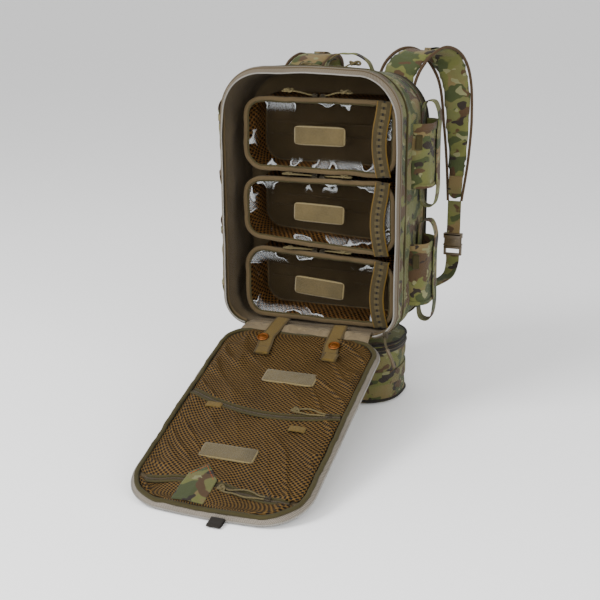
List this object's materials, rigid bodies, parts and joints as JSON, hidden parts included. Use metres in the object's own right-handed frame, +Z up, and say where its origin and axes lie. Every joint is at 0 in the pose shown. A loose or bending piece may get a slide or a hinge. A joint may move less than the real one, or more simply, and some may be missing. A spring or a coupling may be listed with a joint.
{
  "type": "trauma backpack",
  "caption": "Camouflage medical backpack standing open: zipped front panel folded down, clear-windowed modules inside, side sleeves, padded shoulder straps and a lower pouch.",
  "frame": {"origin": "on the ground, at the middle of the lower pouch's flat base", "axes": "+Z up; -Y out of the open front; +X to the right as the opening is faced"},
  "size_m": [0.4145, 0.7155, 0.6227],
  "materials": {
    "camo_fabric": "printed nylon ripstop in five earth colours, matt",
    "lining_fabric": "plain brown-tan nylon lining, matt",
    "zip_tape": "light beige woven zip tape",
    "piping": "tan-brown binding tape",
    "mesh": "coyote open polyester mesh",
    "webbing": "coyote woven webbing",
    "hook_loop": "short loop pile, coyote",
    "clear_film": "clear flexible vinyl film",
    "padding": "spacer mesh over foam",
    "polymer": "moulded acetal, coyote",
    "frame_polymer": "high-density polyethylene sheet",
    "frame_metal": "flat aluminium bar",
    "slider_metal": "painted die-cast zinc",
    "cord": "coyote braided paracord",
    "snap_brass": "copper-toned press stud"
  },
  "bodies": {
    "root": {"main_shell": "camo_fabric", "shell_lining": "lining_fabric", "rim_tape": "zip_tape", "frame_sheet": "frame_polymer", "frame_stays": "frame_metal", "back_panel": "padding", "back_pads": "padding", "rear_zip": "webbing", "hinge_gusset": "lining_fabric", "grab_handle": "webbing", "pouch_body": "camo_fabric", "pouch_lid": "camo_fabric", "pouch_webbing": "webbing", "side_sleeves": "camo_fabric", "side_loops": "webbing", "shoulder_strap_right": "camo_fabric", "shoulder_strap_left": "camo_fabric", "strap_webbing": "webbing", "buckle_sockets": "polymer"},
    "panel": {"front_panel": "camo_fabric", "panel_lining": "lining_fabric", "panel_tape": "zip_tape", "mesh_pocket_upper": "mesh", "mesh_pocket_lower": "mesh", "pocket_zips": "webbing", "panel_trims": "camo_fabric", "snap_straps": "webbing"},
    "module_1": {"module_shell_1": "mesh"},
    "lid_1": {"module_window_1": "clear_film", "module_frame_1": "piping"},
    "zip_1_left": {"slider_1_left": "slider_metal", "pull_1_left": "cord"},
    "zip_1_right": {"slider_1_right": "slider_metal", "pull_1_right": "cord"},
    "module_2": {"module_shell_2": "mesh"},
    "lid_2": {"module_window_2": "clear_film", "module_frame_2": "piping"},
    "zip_2_left": {"slider_2_left": "slider_metal", "pull_2_left": "cord"},
    "zip_2_right": {"slider_2_right": "slider_metal", "pull_2_right": "cord"},
    "module_3": {"module_shell_3": "mesh"},
    "lid_3": {"module_window_3": "clear_film", "module_frame_3": "piping"},
    "zip_3_left": {"slider_3_left": "slider_metal", "pull_3_left": "cord"},
    "zip_3_right": {"slider_3_right": "slider_metal", "pull_3_right": "cord"},
    "pocket_zip_upper": {"pocket_slider_upper": "slider_metal", "pocket_pull_upper": "cord"},
    "pocket_zip_lower": {"pocket_slider_lower": "slider_metal", "pocket_pull_lower": "cord"},
    "main_zip": {"main_slider": "slider_metal", "main_pull": "cord"},
    "rear_zip_left": {"rear_slider_left": "slider_metal", "rear_pull_left": "cord"},
    "rear_zip_right": {"rear_slider_right": "slider_metal", "rear_pull_right": "cord"},
    "buckle_right": {"buckle_plug_right": "polymer"},
    "buckle_left": {"buckle_plug_left": "polymer"}
  },
  "joints": [
    {"name": "panel_fold", "type": "hinge", "parent": "root", "child": "panel", "pos_m": [0, -0.1445, 0.148], "axis": [1, 0, 0], "range_deg": [-108.54, 0]},
    {"name": "module_1_slide", "type": "slide", "parent": "root", "child": "module_1", "axis": [0, -1, 0], "range_m": [0, 0.16]},
    {"name": "lid_1_fold", "type": "hinge", "parent": "module_1", "child": "lid_1", "pos_m": [0.003, -0.113, 0.43], "axis": [1, 0, 0], "range_deg": [0, 76]},
    {"name": "zip_1_left_slide", "type": "slide", "parent": "module_1", "child": "zip_1_left", "axis": [1, 0, 0], "range_m": [-0.055, 0]},
    {"name": "zip_1_right_slide", "type": "slide", "parent": "module_1", "child": "zip_1_right", "axis": [1, 0, 0], "range_m": [0, 0.055]},
    {"name": "module_2_slide", "type": "slide", "parent": "root", "child": "module_2", "axis": [0, -1, 0], "range_m": [0, 0.16]},
    {"name": "lid_2_fold", "type": "hinge", "parent": "module_2", "child": "lid_2", "pos_m": [0.003, -0.113, 0.299], "axis": [1, 0, 0], "range_deg": [0, 76]},
    {"name": "zip_2_left_slide", "type": "slide", "parent": "module_2", "child": "zip_2_left", "axis": [1, 0, 0], "range_m": [-0.055, 0]},
    {"name": "zip_2_right_slide", "type": "slide", "parent": "module_2", "child": "zip_2_right", "axis": [1, 0, 0], "range_m": [0, 0.055]},
    {"name": "module_3_slide", "type": "slide", "parent": "root", "child": "module_3", "axis": [0, -1, 0], "range_m": [0, 0.16]},
    {"name": "lid_3_fold", "type": "hinge", "parent": "module_3", "child": "lid_3", "pos_m": [0.003, -0.113, 0.168], "axis": [1, 0, 0], "range_deg": [0, 76]},
    {"name": "zip_3_left_slide", "type": "slide", "parent": "module_3", "child": "zip_3_left", "axis": [1, 0, 0], "range_m": [-0.055, 0]},
    {"name": "zip_3_right_slide", "type": "slide", "parent": "module_3", "child": "zip_3_right", "axis": [1, 0, 0], "range_m": [0, 0.055]},
    {"name": "pocket_zip_upper_slide", "type": "slide", "parent": "panel", "child": "pocket_zip_upper", "axis": [1, 0, 0], "range_m": [-0.1, 0]},
    {"name": "pocket_zip_lower_slide", "type": "slide", "parent": "panel", "child": "pocket_zip_lower", "axis": [1, 0, 0], "range_m": [0, 0.03]},
    {"name": "main_zip_run", "type": "hinge", "parent": "root", "child": "main_zip", "pos_m": [0.111, -0.15, 0.201], "axis": [0, -1, 0], "range_deg": [0, 48]},
    {"name": "rear_zip_left_slide", "type": "slide", "parent": "root", "child": "rear_zip_left", "axis": [1, 0, 0], "range_m": [-0.05, 0]},
    {"name": "rear_zip_right_slide", "type": "slide", "parent": "root", "child": "rear_zip_right", "axis": [1, 0, 0], "range_m": [0, 0.05]},
    {"name": "buckle_right_release", "type": "slide", "parent": "root", "child": "buckle_right", "axis": [0, 0, -1], "range_m": [0, 0.018]},
    {"name": "buckle_left_release", "type": "slide", "parent": "root", "child": "buckle_left", "axis": [0, 0, -1], "range_m": [0, 0.018]}
  ]
}
